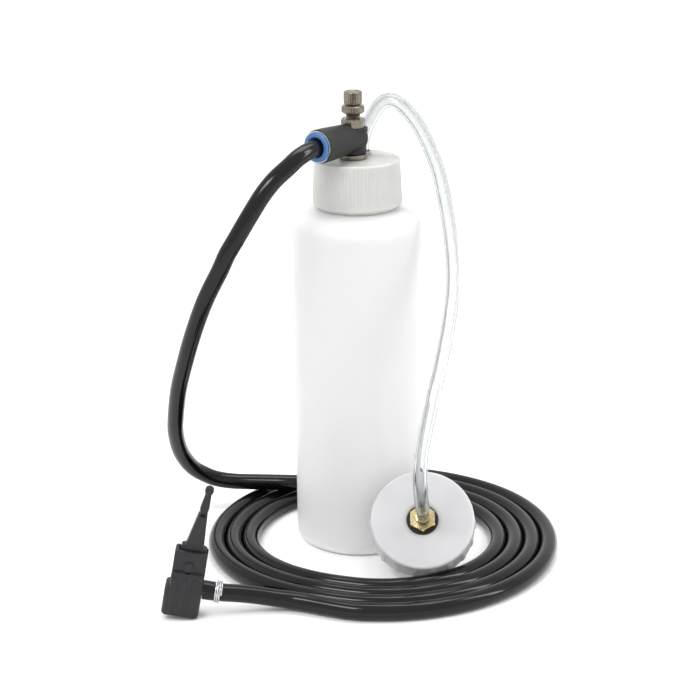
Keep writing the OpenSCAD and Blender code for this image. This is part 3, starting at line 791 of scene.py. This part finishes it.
def makeAdaptor(adaptor):
    skirt = [(29.3 + 0.4 * k / 8, -3.2 - 10 * k / 8) for k in range(9)]
    face = rounded([(4.05, -2.2, 0), (9, -2.2, 0.3), (9, -0.9, 0.3), (10.7, -0.1, 2), (14, 0, 0),
        (29.3, 0, 3),
        (29.3, -3.1, 0)], 8)
    under = rounded([(29.7, -13.2, 0), (29.6, -13.5, 0.1), (27.9, -13.5, 0.2), (27.5, -3.6, 0.6),
        (25.6, -3.6, 0.6),
        (25.6, -18, 0.3), (22.6, -18, 0.4), (22.6, -10.75, 0), (23.4, -10.75, 0), (23.4, -9.2, 0),
        (19.6, -9.2, 0),
        (19.6, -4.8, 0.5), (4.05, -4.8, 0)], 3)

    lugHigh, lugLow, rimFrom = -2.6, -13.4, 29
    fade, lugRun = 1.2, 10.6
    crest, crestWidth = 0.25, 0.55

    def lugged(angle, r, z):
        if r < rimFrom or z > lugHigh or z < lugLow:
            return r
        ridge = smoothStep((math.cos(adaptor["lugs"] * angle) - crest) / crestWidth)
        down = smoothStep((lugHigh - z) / fade)
        height = adaptor["lugTop"] + (adaptor["lugFoot"] - adaptor["lugTop"]) * (lugHigh - z) / lugRun
        return r + ridge * down * height

    mesh = lathe(face + skirt + under[1:], adaptor["sides"], lugged, closed=True)
    cap = addPiece("adaptorCap", placed(mesh, adaptorAt), "adaptor_pe", "adaptor", ["adaptor_cap"])

    barbs = []
    for z in (5, 8.5, 12):
        barbs += [(2.4, z - 0.02), (3.1, z), (2.4, z + 3)]
    profile = [(1.6, -10.4), (4, -10.4), (4, -1.25), (7.4, -1.23), (7.95, -0.9), (7.95, 2.0), (7.1, 2.6),
        (3.3, 2.62),
        (3.3, 3.9), (2.4, 3.95)] + barbs + [(1.6, 15)]
    hexagonal = hexagon(adaptor["hexFlats"], math.radians(30), -1.24, 2.61)
    mesh = placed(lathe(profile, 180, hexagonal, closed=True), adaptorAt)
    barb = addPiece("hexBarb", mesh, "brass", "adaptor", ["brass_barb"], 20)
    return [cap, barb]


adaptorPieces = makeAdaptor(adaptorShape)
print("adaptor made")

chuckAxis = -Vector(mounts["valve_socket"]["axis"])
chuckAt = local(Vector(mounts["valve_socket"]["pos_m"]) - chuckAxis * 2 * mm, chuckAxis, (1, 0, 0))
chuckShape = {"pin": (0.24, 28.7), "outlet": 15.3, "slotHalf": 2.8, "bores": (5.7, 4.5),
    "ribs": (-6.3, -0.9, 4.8)}
leverShape = {"lean": 5.35, "hub": 6, "cam": 2.6, "camAt": 5.1, "thick": 5, "armThick": 7}
clipShape = {"radius": 5.55, "wire": 0.5, "turns": 3.2, "pitch": 1.06, "from": 16.2}


def rod(radius, half, x, z, ring=64):
    # a short rod across the chuck, centred on its lever
    turned = lathe([(0, -half), (radius, -half), (radius, half), (0, half)], ring)
    return placed(turned, Matrix.Translation((x * mm, 0, z * mm)) @ Matrix.Rotation(math.radians(90), 4, "X"))


def makeChuckBody(chuck):
    lower = roundedBox(-11, 9.3, -7.5, 7.5, 0, 16.5, 2.8, 1.8, 0.9)
    middleBlock = roundedBox(-8.7, 9.3, -7.3, 7.3, 10, 26.5, 2.4, 0.4, 2.2)
    upper = roundedBox(-8.6, 9.2, -5, 5, 12, 38, 1.5, 0.4, 0.9)
    ribs = [roundedBox(x - 2.2, x + 2.2, -8, 8, 1.8, 23.5, 1.9, 0.7, 0.7) for x in chuck["ribs"]]
    x, z = chuck["pin"]
    boss = rod(3.4, 5.6, x, z)
    slot = roundedBox(-6.6, 14, -chuck["slotHalf"], chuck["slotHalf"], 20.9, 42, 0.3)
    wide, narrow = chuck["bores"]
    bore = lathe([(0, -1), (wide, -1), (wide, 20), (narrow, 20), (narrow, 23.5), (0, 23.5)], 64)
    outlet = placed(lathe([(0, 0), (3.3, 0), (3.3, 20), (0, 20)], 48),
        Matrix.Translation((0, 0, chuck["outlet"] * mm))
        @ Matrix.Rotation(math.radians(90), 4, "Y"))
    recesses = [placed(rod(2.95, 3, x, z), Matrix.Translation((0, side * 8.1 * mm, 0))) for side in (-1, 1)]
    mesh = carved(lower, [middleBlock, upper, *ribs, boss],
        [slot, bore, outlet, rod(1.72, 9, x, z), *recesses])
    return addPiece("chuckBody", placed(mesh, chuckAt), "chuck_nylon", "root", ["chuck_body"], 30)


def makeLever(lever):
    hub, cam, camAt = lever["hub"], lever["cam"], lever["camAt"]
    outline = [(camAt + cam * math.cos(math.radians(a)), cam * math.sin(math.radians(a))) for a in range(70,
        -84, -11)]
    outline += [(hub * math.cos(math.radians(a)), hub * math.sin(math.radians(a))) for a in range(-34, -181,
        -12)]
    outline += [(-6, 7.6), (-6.9, 8.1), (-7, 8.8), (-7, 10.8), (-6.6, 11.5), (-5.2, 11.8), (-4.9, 12.4),
        (-4.6, 14.5),
        (4.6, 14.5), (4.9, 12.4), (5.2, 11.8), (6.6, 11.5), (7, 10.8), (7, 8.8), (6.9, 8.1), (6, 7.6)]
    arm = crossPlate([(-4.75, 13.3), (4.75, 13.3), (4.1, 18), (2.5, 29.6), (2.1, 30.1), (-2.1, 30.1),
        (-2.5, 29.6),
        (-4.1, 18)], lever["armThick"])
    tip = lathe(rounded([(0, 28, 0), (1.7, 28, 0), (1.7, 31, 0.2), (2.15, 31.2, 0.3), (2.45, 34.3, 2),
        (1.85, 40.8, 2),
        (1.7, 42.4, 0.6), (2.2, 43.2, 0.8), (2.45, 44.8, 1.6), (2.1, 46.6, 1), (1.1, 47.25, 0.6),
        (0, 47.3, 0)]), 48)
    mesh = carved(crossPlate(outline, lever["thick"]), [arm, tip], [rod(1.75, 9, 0, 0)])
    pin = Matrix.Translation((chuckShape["pin"][0] * mm, 0, chuckShape["pin"][1] * mm))
    lean = Matrix.Rotation(math.radians(lever["lean"]), 4, "Y")
    return addPiece("chuckLever", placed(mesh, chuckAt @ pin @ lean), "chuck_nylon", "chuck_lever",
        ["chuck_lever"])


def makeClip(clip):
    count = 120
    wireSides = 10
    start = math.radians(100)
    coil = []
    for k in range(count + 1):
        a = 2 * math.pi * clip["turns"] * k / count + start
        coil.append(Vector((clip["from"] + clip["pitch"] * clip["turns"] * k / count,
            clip["radius"] * math.cos(a),
            chuckShape["outlet"] + clip["radius"] * math.sin(a))))
    mesh, ends = sweep(coil, wireSides, lambda i, a: clip["wire"])
    mesh.faces.new(ends[0][::-1])
    mesh.faces.new(ends[-1])
    return addPiece("hoseClip", placed(mesh, chuckAt), "zinc_steel", "root", ["hose_clip"])


chuckPieces = [makeChuckBody(chuckShape), makeLever(leverShape), makeClip(clipShape)]
chuckPieces += [nodes[n] for n in ("chuck_end_cap", "chuck_barb", "chuck_seal", "chuck_pin", "chuck_plunger")]
# hex_seal is a dark ring in the recess round the brass hexagon; it is painted shade, standing in for the shadow in
# that recess
adaptorPieces += [nodes[n] for n in ("adaptor_gasket", "hex_seal", "barb_nut", "barb_washer")]
print("chuck made")
